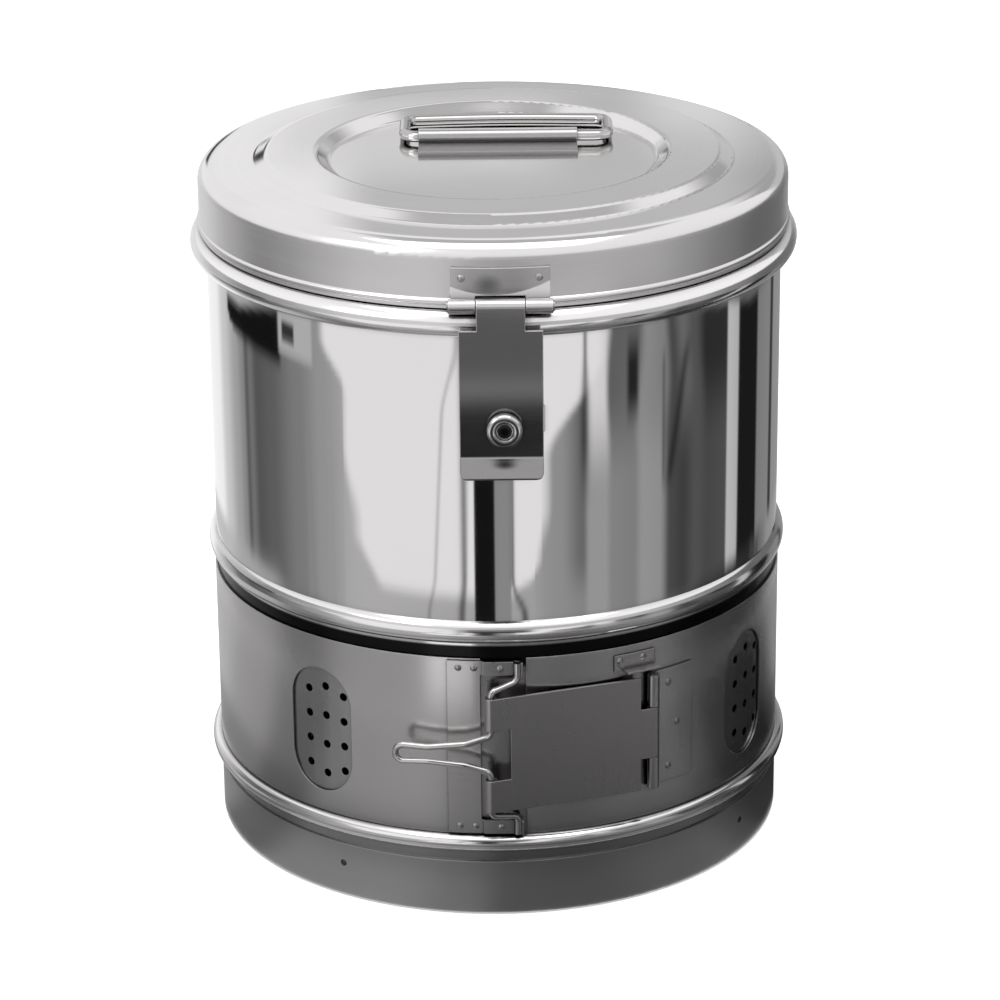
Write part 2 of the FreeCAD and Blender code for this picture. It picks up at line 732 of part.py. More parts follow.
# Shutter band
def window_cutter(azimuth):
    """An obround through the band's sheet, at an azimuth."""
    half_width, half_run = vent_width / 2, (vent_height - vent_width) / 2
    near, far = band_inner - 5 * band_sheet, band_outer + 5 * band_sheet
    cutter = block(-half_width, half_width, -far, -near, vent_z - half_run, vent_z + half_run)
    for z in (vent_z - half_run, vent_z + half_run):
        end = Part.makeCylinder(half_width, far - near, Vector(0, -near, z), Vector(0, -1, 0))
        cutter = cutter.fuse(end)
    cutter.rotate(ORIGIN, UP, azimuth)
    return cutter


def shutter_band():
    """The slit ring round the vents, with an obround window over each field of holes."""
    band = sector(band_inner, band_outer, band_right_azimuth, 360 + band_left_azimuth, band_foot, band_top)
    for azimuth in vent_azimuths:
        band = band.cut(window_cutter(azimuth + vent_azimuth_step))
    band = drilled(band, bracket_band_places, bracket_grip)
    band = drilled(band, hinge_leaf_places, hinge_leaf_grip)
    return drilled(band, tab_places, tab_grip)


# Bracket with the lever's open seats, on the band's left end
bracket_grip = bracket_sheet + band_sheet
bracket_levels = [clasp_z + strap_middle, clasp_z - strap_middle]
bracket_band_places = radial_places([(band_left_azimuth + step, z) for step in bracket_rivet_azimuths
                                     for z in bracket_levels], band_outer + bracket_sheet)
bracket_fold_places = radial_places([(band_left_azimuth + strap_rivet_azimuth_step, z)
                                     for z in bracket_levels], band_outer + 2 * bracket_sheet)


def lever_bracket():
    """A C-shaped plate: an upright web and two doubled straps that end in open seats for the wire."""
    low, high = clasp_z - bracket_half_height, clasp_z + bracket_half_height
    outer = band_outer + bracket_sheet
    bracket = sector(band_outer, outer, bracket_azimuth, band_left_azimuth, low, high)
    centre = spot(lever_azimuth, lever_radius)
    side_azimuth = math.degrees(seat_bore / lever_radius)
    for strap_foot in (low, high - strap_height):
        top = strap_foot + strap_height
        under = sector(band_outer, outer, band_left_azimuth, lever_azimuth, strap_foot, top)
        over = sector(outer, outer + bracket_sheet, band_left_azimuth + strap_fold_azimuth_step,
                      lever_azimuth - side_azimuth, strap_foot, top)
        roll = post(seat_roll, centre, strap_foot, top)
        keep = block(0, seat_roll + 1, -lever_seat_rise, seat_roll + 1, strap_foot, top)
        keep.rotate(ORIGIN, UP, lever_azimuth)
        keep.translate(centre)
        bracket = bracket.fuse(under).fuse(over).fuse(roll.common(keep))
        bracket = bracket.cut(post(seat_bore, centre, strap_foot, top))
    bracket = drilled(bracket.removeSplitter(), bracket_band_places, bracket_grip)
    return drilled(bracket, bracket_fold_places, bracket_grip)


# Wire lever with its finger loop
def wire_lever():
    """One bent wire: two ends that seat in the bracket, the plate's hinge line, and a hairpin."""
    seat = spot(lever_azimuth, lever_radius)
    edge = spot(plate_edge_azimuth, edge_radius)
    elbow_half = strap_low - lever_elbow_drop
    shoulder_half = plate_half_height + lever_shoulder_rise
    neck = edge + Vector(-loop_neck_reach, 0, 0)
    waist = edge + Vector(-loop_waist_reach, loop_waist_dip, 0)
    tip = edge + Vector(-loop_tip_reach, loop_tip_dip, 0)
    half = [(seat, bracket_half_height - lever_end_inset, 0), (seat, elbow_half, lever_bend),
            (edge, shoulder_half, lever_bend), (edge, lever_neck_half, lever_bend),
            (neck, loop_neck_half, loop_neck_bend), (waist, loop_waist_half, loop_waist_bend),
            (tip, loop_tip_half, loop_tip_half - loop_tip_flat)]
    upper = [(point + Vector(0, 0, clasp_z + height), bend) for point, height, bend in half]
    lower = [(point + Vector(0, 0, clasp_z - height), bend) for point, height, bend in half]
    return wire_sweep(upper + lower[::-1], wire_radius)


# Clasp plate
plate_edge = spot(plate_edge_azimuth, edge_radius)
plate_hinge = spot(hinge_azimuth, hinge_radius)
plate_length = plate_edge.distanceToPoint(plate_hinge)
plate_turn = math.degrees(math.atan2(plate_hinge.y - plate_edge.y, plate_hinge.x - plate_edge.x))


def on_plate(shape):
    """A shape made with the plate's curled edge at the origin and its hinge along +X, put in place."""
    shape.rotate(ORIGIN, UP, plate_turn)
    shape.translate(plate_edge)
    return shape


def clasp_plate():
    """A flat plate: one edge curled round the wire, notched for the hairpin, the other with a knuckle."""
    low, high = clasp_z - plate_half_height, clasp_z + plate_half_height
    full = plate_length - plate_end_setback
    plate = block(0, full, -clasp_roll, -clasp_bore, low, high)
    tab_low, tab_high = clasp_z - plate_tab_half, clasp_z + plate_tab_half
    plate = plate.fuse(block(full, plate_length, -clasp_roll, -clasp_bore, tab_low, tab_high))
    plate = plate.fuse(post(clasp_roll, Vector(0, 0, 0), low, high))
    plate = plate.fuse(post(clasp_roll, Vector(plate_length, 0, 0), tab_low, tab_high))
    plate = plate.cut(post(clasp_bore, Vector(0, 0, 0), low, high))
    plate = plate.cut(post(clasp_bore, Vector(plate_length, 0, 0), tab_low, tab_high))
    slit = block(clasp_bore / 2, clasp_bore / 2 + curl_slit, -clasp_bore / 2, 2 * clasp_roll, low, high)
    notch = block(-2 * clasp_roll, notch_depth, -2 * clasp_roll, 2 * clasp_roll,
                  clasp_z - notch_half_height, clasp_z + notch_half_height)
    plate = plate.cut(slit).cut(notch)
    return on_plate(plate.removeSplitter())


# Clasp hinge leaf and pin, on the band's right end
hinge_leaf_grip = clasp_sheet + band_sheet
leaf_rivet_half = plate_half_height - leaf_rivet_inset
hinge_leaf_places = radial_places([(hinge_azimuth + leaf_rivet_azimuth_step, clasp_z + leaf_rivet_half),
                                   (hinge_azimuth + leaf_middle_azimuth_step, clasp_z),
                                   (hinge_azimuth + leaf_rivet_azimuth_step, clasp_z - leaf_rivet_half)],
                                  band_outer + clasp_sheet)


def clasp_hinge_leaf():
    """The leaf with the two outer knuckles of the plate's hinge."""
    low, high = clasp_z - plate_half_height, clasp_z + plate_half_height
    outer = band_outer + clasp_sheet
    leaf = sector(band_outer, outer, hinge_azimuth, hinge_leaf_azimuth, low, high)
    middle = plate_tab_half + knuckle_gap
    for foot, top in ((low, clasp_z - middle), (clasp_z + middle, high)):
        leaf = leaf.fuse(post(clasp_roll, plate_hinge, foot, top))
    leaf = leaf.cut(post(clasp_bore, plate_hinge, low, high))
    leaf = leaf.cut(post(clasp_roll + hinge_leaf_room, plate_hinge, clasp_z - middle, clasp_z + middle))
    return drilled(leaf.removeSplitter(), hinge_leaf_places, hinge_leaf_grip)


def clasp_hinge_pin():
    """The clasp hinge's pin, as thick as the wire, with spread ends."""
    low, high = clasp_z - plate_half_height, clasp_z + plate_half_height
    pin = post(wire_radius, plate_hinge, low - pin_head, high + pin_head)
    head = wire_radius + pin_head_spread
    return pin.fuse(post(head, plate_hinge, low - pin_head, low)).fuse(
        post(head, plate_hinge, high, high + pin_head))


# Finger tab on the band
tab_grip = bracket_sheet + band_sheet
tab_places = radial_places([(tab_azimuth + step, tab_foot_z + tab_rivet_rise)
                            for step in tab_rivet_azimuths], band_outer + bracket_sheet)


def band_tab():
    """An angle piece whose lower edge is turned out for the finger."""
    outer = band_outer + bracket_sheet
    foot = sector(band_outer, outer, tab_azimuth, tab_end_azimuth, tab_foot_z, tab_foot_z + tab_foot_height)
    lip = sector(band_outer, band_outer + tab_lip_reach, tab_azimuth + tab_lip_azimuth_step, tab_end_azimuth,
                 tab_foot_z, tab_foot_z + bracket_sheet)
    return drilled(foot.fuse(lip).removeSplitter(), tab_places, tab_grip)


# Lid handle
def handle_cleat():
    """The folded cleat: a double flange on the recess, rolled round the bail's front run."""
    left, right = cleat_shift - cleat_width / 2, cleat_shift + cleat_width / 2
    low, high = recess_z, recess_z + 2 * cleat_sheet
    flange = block(left, right, cleat_axis_y - cleat_flange, cleat_axis_y, low, high)
    roll = bar(cleat_roll, left, right, cleat_axis_y, bail_axis_z)
    return flange.fuse(roll).cut(bar(bail_bore, left, right, cleat_axis_y, bail_axis_z)).removeSplitter()


def lid_bail():
    """The closed wire loop, lying back in the recess with its far run bowed."""
    drop = cleat_roll - bail_radius - bail_floor_gap
    lean = math.asin(drop / (bail_depth + bail_bow))
    corners = [(-bail_half_length, 0, bail_corner), (bail_half_length, 0, bail_corner),
               (bail_half_length, bail_depth, bail_corner), (0, bail_depth + bail_bow, bail_bow_radius),
               (-bail_half_length, bail_depth, bail_corner)]
    start = (-bail_half_length + 2 * bail_corner, 0)
    loop = []
    for u, v, bend in corners[1:] + corners[:1]:
        loop.append((Vector(cleat_shift + bail_shift + u, cleat_axis_y + v * math.cos(lean),
                            bail_axis_z - v * math.sin(lean)), bend))
    seam = Vector(cleat_shift + bail_shift + start[0], cleat_axis_y, bail_axis_z)
    return wire_sweep([(seam, 0)] + loop, bail_radius, closed=True)


save("drum_shell", drum_shell())
save("rim_hoop", hoop(rim_hoop_z, rim_hoop_height, rim_hoop_bulge))
save("middle_hoop", hoop(mid_hoop_z, mid_hoop_height, mid_hoop_bulge))
save("lower_hoop", hoop(low_hoop_z, low_hoop_height, low_hoop_bulge))
save("base_pan", base_pan())
save("foot_skirt", drilled(foot_skirt(), skirt_places, skirt_grip))
save("skirt_rivets", riveted(skirt_places, skirt_grip))
save("keeper_clips", Part.makeCompound([keeper_clip(side) for side in (-1, 1)]))
save("keeper_rivets", riveted(keeper_places, keeper_grip))
save("body_hinge_leaf", body_leaf())
save("body_leaf_rivets", riveted(body_leaf_places, body_leaf_grip))

save("lid_pan", lid_pan())
save("lid_hinge_leaf", turned_about(wall_leaf(0)))
save("lid_leaf_rivets", turned_about(riveted(wall_places(0), wall_grip)))
save("lid_hinge_pin", turned_about(hinge_pin(0)))
save("hasp_wall_leaf", wall_leaf(hasp_offset))
save("hasp_rivets", riveted(wall_places(hasp_offset), wall_grip))
save("hasp_pin", hinge_pin(hasp_offset))
save("handle_cleat", handle_cleat())
save("lid_bail", lid_bail())

save("hasp_leaf", hasp_leaf())
save("turn_knob", turn_knob())
save("knob_tongue", knob_tongue())

save("shutter_band", shutter_band())
save("lever_bracket", lever_bracket())
save("bracket_rivets", Part.makeCompound(
    [riveted(bracket_band_places, bracket_grip), riveted(bracket_fold_places, bracket_grip)]))
save("clasp_hinge_leaf", clasp_hinge_leaf())
save("clasp_leaf_rivets", riveted(hinge_leaf_places, hinge_leaf_grip))
save("clasp_hinge_pin", clasp_hinge_pin())
save("band_tab", band_tab())
save("tab_rivets", riveted(tab_places, tab_grip))
save("clasp_plate", clasp_plate())
save("wire_lever", wire_lever())
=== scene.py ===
import math

import bpy
from mathutils import Matrix, Vector


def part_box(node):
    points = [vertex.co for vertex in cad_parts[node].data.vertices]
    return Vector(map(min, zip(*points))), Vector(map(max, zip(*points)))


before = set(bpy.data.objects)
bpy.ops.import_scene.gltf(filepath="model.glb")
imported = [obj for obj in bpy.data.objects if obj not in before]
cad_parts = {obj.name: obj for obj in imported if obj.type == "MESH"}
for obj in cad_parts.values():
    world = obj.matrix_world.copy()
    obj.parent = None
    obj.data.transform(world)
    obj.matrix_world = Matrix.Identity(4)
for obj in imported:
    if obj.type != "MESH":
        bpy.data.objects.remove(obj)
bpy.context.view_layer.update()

# Places on the drum, from the frame, in metres
lip_height = 0.0075
drum_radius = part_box("drum_shell")[1].x
band_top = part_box("shutter_band")[1].z
lid_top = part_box("lid_pan")[1].z
lip_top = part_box("hasp_leaf")[0].z + lip_height
lip_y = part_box("hasp_leaf")[0].y
knob_x, knob_y, knob_z = (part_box("turn_knob")[0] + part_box("turn_knob")[1]) / 2
leaf_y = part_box("hasp_wall_leaf")[0].y
leaf_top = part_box("hasp_wall_leaf")[1].z

# Camera, fitted to the photograph's outlines: metres and degrees, with the lens and sensor in millimetres
camera_distance = 1.4903
camera_height = 0.708
camera_pitch = 21.18
camera_yaw = -0.06
camera_roll = -0.56
camera_lens = 140.5
camera_sensor = 36.0

# Studio, in metres. A level of 1 is white.
floor_size = 12.0
floor_grey = 0.85
floor_glow = 0.55
world_level = 0.72

# The tent round the drum, which only reflections see: glowing sheets, no lamps, whose painted levels make
# the reflections in the steel
tent_radius = 0.30
tent_foot = 0.001
tent_top = 0.28
back_radius = 0.36
back_top = 0.60
back_azimuths = (120, 240)
ceiling_height = 1.0
ceiling_half = 0.5
ceiling_near = -0.02
ceiling_far = 0.70
table_height = 0.0005
table_gap = 0.002
black = 0.008

# Finish of the steel: how fine the polishing lines are along x, y and z, and how large the stains are
round_lines = (6.0, 6.0, 1500.0)
plate_lines = (40.0, 40.0, 1400.0)
spun_lines = (500.0, 500.0, 1100.0)
cleat_lines = (40.0, 1200.0, 1200.0)
clasp_lines = (400.0, 400.0, 60.0)
wire_grain = (300.0, 300.0, 300.0)
knob_grain = (400.0, 400.0, 400.0)
rivet_grain = (500.0, 500.0, 500.0)
stain_scale = 22.0


def new_material(name):
    """A node material with a Principled shader; returns the material, its tree and the shader."""
    material = bpy.data.materials.new(name)
    material.use_nodes = True
    tree = material.node_tree
    return material, tree, tree.nodes["Principled BSDF"]


def bare_tree(owner):
    """An empty node tree for a material or world."""
    owner.use_nodes = True
    owner.node_tree.nodes.clear()
    return owner.node_tree


def add(tree, kind, **settings):
    """One node with its settings."""
    node = tree.nodes.new(kind)
    for key, value in settings.items():
        setattr(node, key, value)
    return node


def join(tree, source, target):
    tree.links.new(source, target)


def math_node(tree, operation, first, second=None):
    """A Math node; its inputs are sockets or numbers."""
    node = add(tree, "ShaderNodeMath", operation=operation)
    for i, value in enumerate((first, second)):
        if value is None:
            continue
        if isinstance(value, (int, float)):
            node.inputs[i].default_value = value
        else:
            join(tree, value, node.inputs[i])
    return node.outputs[0]


def weighted(tree, first, first_weight, second, second_weight):
    """The weighted sum of two sockets."""
    return math_node(tree, "ADD", math_node(tree, "MULTIPLY", first, first_weight),
                     math_node(tree, "MULTIPLY", second, second_weight))


def ranged(tree, value, low, high):
    """A 0 to 1 socket mapped to a range."""
    node = add(tree, "ShaderNodeMapRange")
    join(tree, value, node.inputs["Value"])
    node.inputs["To Min"].default_value = low
    node.inputs["To Max"].default_value = high
    return node.outputs["Result"]


def stepped(tree, value, start, end, low, high):
    """A socket mapped smoothly from one range to another."""
    node = add(tree, "ShaderNodeMapRange", interpolation_type="SMOOTHSTEP")
    join(tree, value, node.inputs["Value"])
    for name, number in (("From Min", start), ("From Max", end), ("To Min", low), ("To Max", high)):
        node.inputs[name].default_value = number
    return node.outputs["Result"]


def place_socket(tree):
    return add(tree, "ShaderNodeTexCoord").outputs["Object"]


def split(tree, vector):
    """The three parts of a vector socket."""
    node = add(tree, "ShaderNodeSeparateXYZ")
    join(tree, vector, node.inputs[0])
    return node.outputs


def scaled(tree, vector, scale):
    """A vector socket multiplied by a fixed vector."""
    node = add(tree, "ShaderNodeVectorMath", operation="MULTIPLY")
    join(tree, vector, node.inputs[0])
    node.inputs[1].default_value = scale
    return node.outputs[0]


def multiplied(tree, vector, factor):
    """A colour or vector socket multiplied by a number's socket."""
    node = add(tree, "ShaderNodeVectorMath", operation="SCALE")
    join(tree, vector, node.inputs[0])
    join(tree, factor, node.inputs["Scale"])
    return node.outputs[0]


def noise(tree, vector, scale, detail, roughness):
    node = add(tree, "ShaderNodeTexNoise")
    join(tree, vector, node.inputs["Vector"])
    node.inputs["Scale"].default_value = scale
    node.inputs["Detail"].default_value = detail
    node.inputs["Roughness"].default_value = roughness
    return node.outputs["Fac"]


def spun_vector(tree):
    """Coordinates that run slowly round the axis and fast along the radius: for spun discs."""
    slow = 0.01
    parts = split(tree, place_socket(tree))
    square_x = math_node(tree, "MULTIPLY", parts[0], parts[0])
    square_y = math_node(tree, "MULTIPLY", parts[1], parts[1])
    radius = math_node(tree, "SQRT", math_node(tree, "ADD", square_x, square_y))
    combined = add(tree, "ShaderNodeCombineXYZ")
    join(tree, math_node(tree, "MULTIPLY", parts[0], slow), combined.inputs[0])
    join(tree, math_node(tree, "MULTIPLY", parts[1], slow), combined.inputs[1])
    join(tree, math_node(tree, "ADD", radius, parts[2]), combined.inputs[2])
    return combined.outputs[0]


def stained(tree, tint, stain, share):
    """A tint that varies by the stain's share either way."""
    colour = add(tree, "ShaderNodeMix", data_type="RGBA")
    join(tree, share, colour.inputs["Factor"])
    colour.inputs[6].default_value = (*[c * (1 - stain) for c in tint], 1)
    colour.inputs[7].default_value = (*[min(1.0, c * (1 + stain)) for c in tint], 1)
    return colour.outputs[2]


def with_painted_crease_shade(tree, colour, crease, reach):
    """A colour made darker where another surface lies within reach: painted shade in creases and between
    parts.
    """
    deep, open_air = 0.35, 0.95
    near = add(tree, "ShaderNodeAmbientOcclusion", samples=4)
    near.inputs["Distance"].default_value = reach
    return multiplied(tree, colour, stepped(tree, near.outputs["AO"], deep, open_air, 1.0 - crease, 1.0))


def bumped(tree, height, edge):
    """The normal of a surface with this height, and edges rounded over a radius of edge."""
    bump = add(tree, "ShaderNodeBump")
    bump.inputs["Strength"].default_value = 1.0
    bump.inputs["Distance"].default_value = 1.0
    join(tree, height, bump.inputs["Height"])
    if edge:
        soft = add(tree, "ShaderNodeBevel", samples=6)
        soft.inputs["Radius"].default_value = edge
        join(tree, soft.outputs[0], bump.inputs["Normal"])
    return bump.outputs[0]


def steel(name, tint, roughness, spread, grain, lines_scale, wave=0.0, wave_scale=18.0, edge=0.0,
          anisotropy=0.0, spun=False, stain=0.06, crease=0.0, reach=0.0025):
    """Steel sheet or wire: fine polishing lines, faint stains, slow waves in the surface and soft edges.

    roughness varies by spread either way. grain and wave are the heights of the lines and the waves in
    metres. crease is the share of its colour that the steel loses as painted shade where a surface within
    reach faces it."""
    material, tree, shader = new_material(name)
    place = place_socket(tree)
    lines = noise(tree, scaled(tree, spun_vector(tree) if spun else place, lines_scale), 1.0, 4.0, 0.6)
    cloud = noise(tree, place, stain_scale, 4.0, 0.6)
    colour = stained(tree, tint, stain, weighted(tree, cloud, 0.6, lines, 0.4))
    if crease:
        # painted shade: the colour darkens in creases and where parts meet
        colour = with_painted_crease_shade(tree, colour, crease, reach)
    join(tree, colour, shader.inputs["Base Color"])
    shader.inputs["Metallic"].default_value = 1.0
    finish = weighted(tree, lines, 0.7, cloud, 0.3)
    join(tree, ranged(tree, finish, max(0.01, roughness - spread), roughness + spread),
         shader.inputs["Roughness"])
    if anisotropy:
        shader.inputs["Anisotropic"].default_value = anisotropy
        tangent = add(tree, "ShaderNodeTangent", direction_type="RADIAL", axis="Z")
        join(tree, tangent.outputs[0], shader.inputs["Tangent"])
    height = math_node(tree, "MULTIPLY", lines, grain)
    if wave:
        slow = noise(tree, scaled(tree, place, (1.0, 1.0, 0.45)), wave_scale, 1.0, 0.4)
        height = math_node(tree, "ADD", height, math_node(tree, "MULTIPLY", slow, wave))
    join(tree, bumped(tree, height, edge), shader.inputs["Normal"])
    return material


def by_height(material, start, end, colour_factor, roughness_factor):
    """Multiplies colour and roughness by these factors below start; above end they stay as they are."""
    tree = material.node_tree
    shader = tree.nodes["Principled BSDF"]
    share = stepped(tree, split(tree, place_socket(tree))[2], start, end, 0.0, 1.0)
    for name, factor in (("Base Color", colour_factor), ("Roughness", roughness_factor)):
        socket = shader.inputs[name]
        join(tree, multiplied(tree, socket.links[0].from_socket, ranged(tree, share, factor, 1.0)), socket)
    return material


def spotted(material, centre, size, factor):
    """Multiplies the colour by a factor in a soft spot at a place, with a size along each axis."""
    tree = material.node_tree
    socket = tree.nodes["Principled BSDF"].inputs["Base Color"]
    away = add(tree, "ShaderNodeVectorMath", operation="SUBTRACT")
    join(tree, place_socket(tree), away.inputs[0])
    away.inputs[1].default_value = centre
    span = add(tree, "ShaderNodeVectorMath", operation="LENGTH")
    join(tree, scaled(tree, away.outputs[0], [1 / length for length in size]), span.inputs[0])
    share = stepped(tree, span.outputs["Value"], 0.3, 1.0, factor, 1.0)
    join(tree, multiplied(tree, socket.links[0].from_socket, share), socket)
    return material


def shell_material():
    """Mirror polish above; painted shade makes the slot above the band almost black, and the shell is
    rougher and darker where the band's windows show it.
    """
    polished = steel("mirror_shell", tint=(0.80, 0.785, 0.785), roughness=0.045, spread=0.03,
                     grain=0.0000012, lines_scale=round_lines, wave=0.00022, wave_scale=9.0,
                     stain=0.03, crease=0.5)
    # painted shade: the slot between the middle hoop and the band
    slot = by_height(polished, band_top + 0.0045, band_top + 0.0055, 0.02, 4.5)
    return by_height(slot, band_top - 0.0045, band_top - 0.0030, 28.0, 1.0)


def hoop_material():
    return steel("mirror_hoop", tint=(0.88, 0.865, 0.865), roughness=0.14, spread=0.05,
                 grain=0.000001, lines_scale=round_lines, wave=0.00006, wave_scale=30.0,
                 stain=0.04, crease=0.9, reach=0.005)


def lid_material():
    """Satin top, with a rougher wall."""
    satin = steel("satin_lid", tint=(0.78, 0.765, 0.765), roughness=0.10, spread=0.04,
                  grain=0.0000012, lines_scale=spun_lines, wave=0.00016, wave_scale=10.0,
                  anisotropy=0.45, spun=True, stain=0.09)
    return by_height(satin, lid_top - 0.008, lid_top - 0.004, 0.97, 2.4)


def band_material():
    return steel("brushed_band", tint=(0.62, 0.605, 0.605), roughness=0.22, spread=0.06,
                 grain=0.0000025, lines_scale=round_lines, wave=0.00010, wave_scale=12.0,
                 edge=0.0003, anisotropy=0.4, stain=0.07, crease=0.85, reach=0.004)


def bracket_material():
    return steel("lever_bracket", tint=(0.55, 0.535, 0.535), roughness=0.20, spread=0.05,
                 grain=0.000002, lines_scale=plate_lines, wave=0.00006, wave_scale=40.0,
                 edge=0.0003, stain=0.12, crease=0.9)


def skirt_material():
    return steel("dull_skirt", tint=(0.50, 0.49, 0.49), roughness=0.34, spread=0.07,
                 grain=0.000003, lines_scale=round_lines, wave=0.00008, wave_scale=16.0,
                 edge=0.0004, anisotropy=0.4, stain=0.10)


def hasp_material():
    """A smooth leaf with a finger lip that painted shade makes darker, and a painted dark reflection under
    the lip's top edge.
    """
    plate = steel("hasp_plate", tint=(0.60, 0.585, 0.585), roughness=0.11, spread=0.05,
                  grain=0.0000012, lines_scale=plate_lines, wave=0.00022, wave_scale=30.0,
                  edge=0.0005, stain=0.10, crease=0.7)
    # painted shade: the finger lip is darker than the leaf
    lipped = by_height(plate, lip_top - 0.001, lip_top, 0.24, 2.2)
    # painted reflection: a dark spot under the lip's top edge
    return spotted(lipped, (knob_x, lip_y, lip_top - 0.0022), (0.0065, 0.01, 0.0022), 0.08)


def wall_leaf_material():
    """The leaf on the lid's wall, with a painted dark reflection left of its middle."""
    leaf = steel("wall_leaf", tint=(0.62, 0.605, 0.605), roughness=0.20, spread=0.06,
                 grain=0.000002, lines_scale=plate_lines, wave=0.00008, wave_scale=40.0,
                 edge=0.0005, stain=0.12, crease=0.9, reach=0.004)
    # painted reflection: a dark spot left of the leaf's middle
    return spotted(leaf, (-0.0025, leaf_y, leaf_top - 0.0065), (0.0085, 0.01, 0.0065), 0.18)


def clasp_material():
    return steel("clasp_plate", tint=(0.46, 0.445, 0.445), roughness=0.28, spread=0.03,
                 grain=0.0000003, lines_scale=clasp_lines, wave=0.00006, wave_scale=22.0,
                 edge=0.0004, stain=0.08, crease=0.8)


def wire_material():
    return steel("bright_wire", tint=(0.50, 0.49, 0.49), roughness=0.13, spread=0.05,
                 grain=0.000001, lines_scale=wire_grain, stain=0.08, crease=0.9)


def shade_painted_wire_material():
    # painted shade: a strong crease shade darkens this wire at its sides and where it lies close to other
    # parts
    return steel("shade_painted_wire", tint=(0.60, 0.585, 0.585), roughness=0.14, spread=0.05,
                 grain=0.000001, lines_scale=wire_grain, stain=0.12, crease=0.97, reach=0.006)


def rivet_material():
    return steel("rivet_head", tint=(0.42, 0.41, 0.41), roughness=0.26, spread=0.06,
                 grain=0.000002, lines_scale=rivet_grain, edge=0.0002, stain=0.15, crease=0.95)


def dark_rivet_material():
    return steel("dark_rivet_head", tint=(0.09, 0.085, 0.085), roughness=0.35, spread=0.06,
                 grain=0.000002, lines_scale=rivet_grain, edge=0.0002, stain=0.15)


def cleat_material():
    """Folded sheet, with painted shade making it darker where it meets the lid."""
    sheet = steel("handle_cleat", tint=(0.76, 0.745, 0.745), roughness=0.16, spread=0.05,
                  grain=0.000002, lines_scale=cleat_lines, edge=0.0004, stain=0.07, crease=0.8)
    # painted shade: the cleat's lower part is darker near the lid
    return by_height(sheet, lid_top + 0.0005, lid_top + 0.0030, 0.50, 1.5)


def knob_material():
    """A bright rim, with painted shade making it darker below, round a dish painted dark as shade."""
    knob = steel("bright_knob", tint=(0.62, 0.605, 0.605), roughness=0.13, spread=0.05,
                 grain=0.000001, lines_scale=knob_grain, stain=0.05, crease=0.97, reach=0.008)
    # painted shade: the knob's lower part is darker
    shaded = by_height(knob, knob_z - 0.0035, knob_z + 0.0005, 0.35, 1.5)
    # painted shade: the dish in the knob's middle is dark
    return spotted(shaded, (knob_x, knob_y, knob_z - 0.0003), (0.0034, 0.02, 0.0034), 0.12)


def base_material():
    return steel("base_disc", tint=(0.58, 0.57, 0.57), roughness=0.26, spread=0.07,
                 grain=0.0000025, lines_scale=spun_lines, wave=0.0001, wave_scale=12.0,
                 anisotropy=0.4, spun=True, stain=0.08)


finishes = {
    shell_material: ["drum_shell"],
    hoop_material: ["rim_hoop", "middle_hoop", "lower_hoop"],
    lid_material: ["lid_pan"],
    band_material: ["shutter_band"],
    bracket_material: ["band_tab", "lever_bracket", "clasp_hinge_leaf"],
    skirt_material: ["foot_skirt"],
    base_material: ["base_pan"],
    hasp_material: ["hasp_leaf"],
    wall_leaf_material: ["hasp_wall_leaf", "lid_hinge_leaf", "body_hinge_leaf", "keeper_clips"],
    clasp_material: ["clasp_plate", "knob_tongue"],
    wire_material: ["lid_bail", "hasp_pin", "lid_hinge_pin"],
    shade_painted_wire_material: ["wire_lever", "clasp_hinge_pin"],
    knob_material: ["turn_knob"],
    cleat_material: ["handle_cleat"],
    dark_rivet_material: ["skirt_rivets"],
    rivet_material: ["keeper_rivets", "body_leaf_rivets", "lid_leaf_rivets", "hasp_rivets",
                     "bracket_rivets", "clasp_leaf_rivets", "tab_rivets"],
}


def dress_nodes():
    """Every node gets its finish."""
    for make, names in finishes.items():
        material = make()
        for name in names:
            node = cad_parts[name]
            node.data.materials.clear()
            node.data.materials.append(material)


def seen_mask(tree):
    """1 for camera, glossy and transmission rays, else 0."""
    path = add(tree, "ShaderNodeLightPath")
    both = math_node(tree, "MAXIMUM", path.outputs["Is Camera Ray"], path.outputs["Is Glossy Ray"])
    return math_node(tree, "MAXIMUM", both, path.outputs["Is Transmission Ray"])


def floor_material():
    """Matt and pale, with a glow that makes it look white and keeps the drum's shadow."""
    material = bpy.data.materials.new("pale_floor")
    tree = bare_tree(material)
    matt = add(tree, "ShaderNodeBsdfDiffuse")
    matt.inputs["Color"].default_value = (floor_grey, floor_grey, floor_grey, 1)
    glow = add(tree, "ShaderNodeEmission")
    glow.inputs["Color"].default_value = (1, 1, 1, 1)
    join(tree, math_node(tree, "MULTIPLY", seen_mask(tree), floor_glow), glow.inputs["Strength"])
    both = add(tree, "ShaderNodeAddShader")
    join(tree, matt.outputs[0], both.inputs[0])
    join(tree, glow.outputs[0], both.inputs[1])
    join(tree, both.outputs[0], add(tree, "ShaderNodeOutputMaterial").inputs["Surface"])
    return material


def make_floor():
    half = floor_size / 2
    mesh = bpy.data.meshes.new("studio_floor")
    mesh.from_pydata([(-half, -half, 0), (half, -half, 0), (half, half, 0), (-half, half, 0)], [],
                     [(0, 1, 2, 3)])
    mesh.materials.append(floor_material())
    floor = bpy.data.objects.new("studio_floor", mesh)
    bpy.context.scene.collection.objects.link(floor)


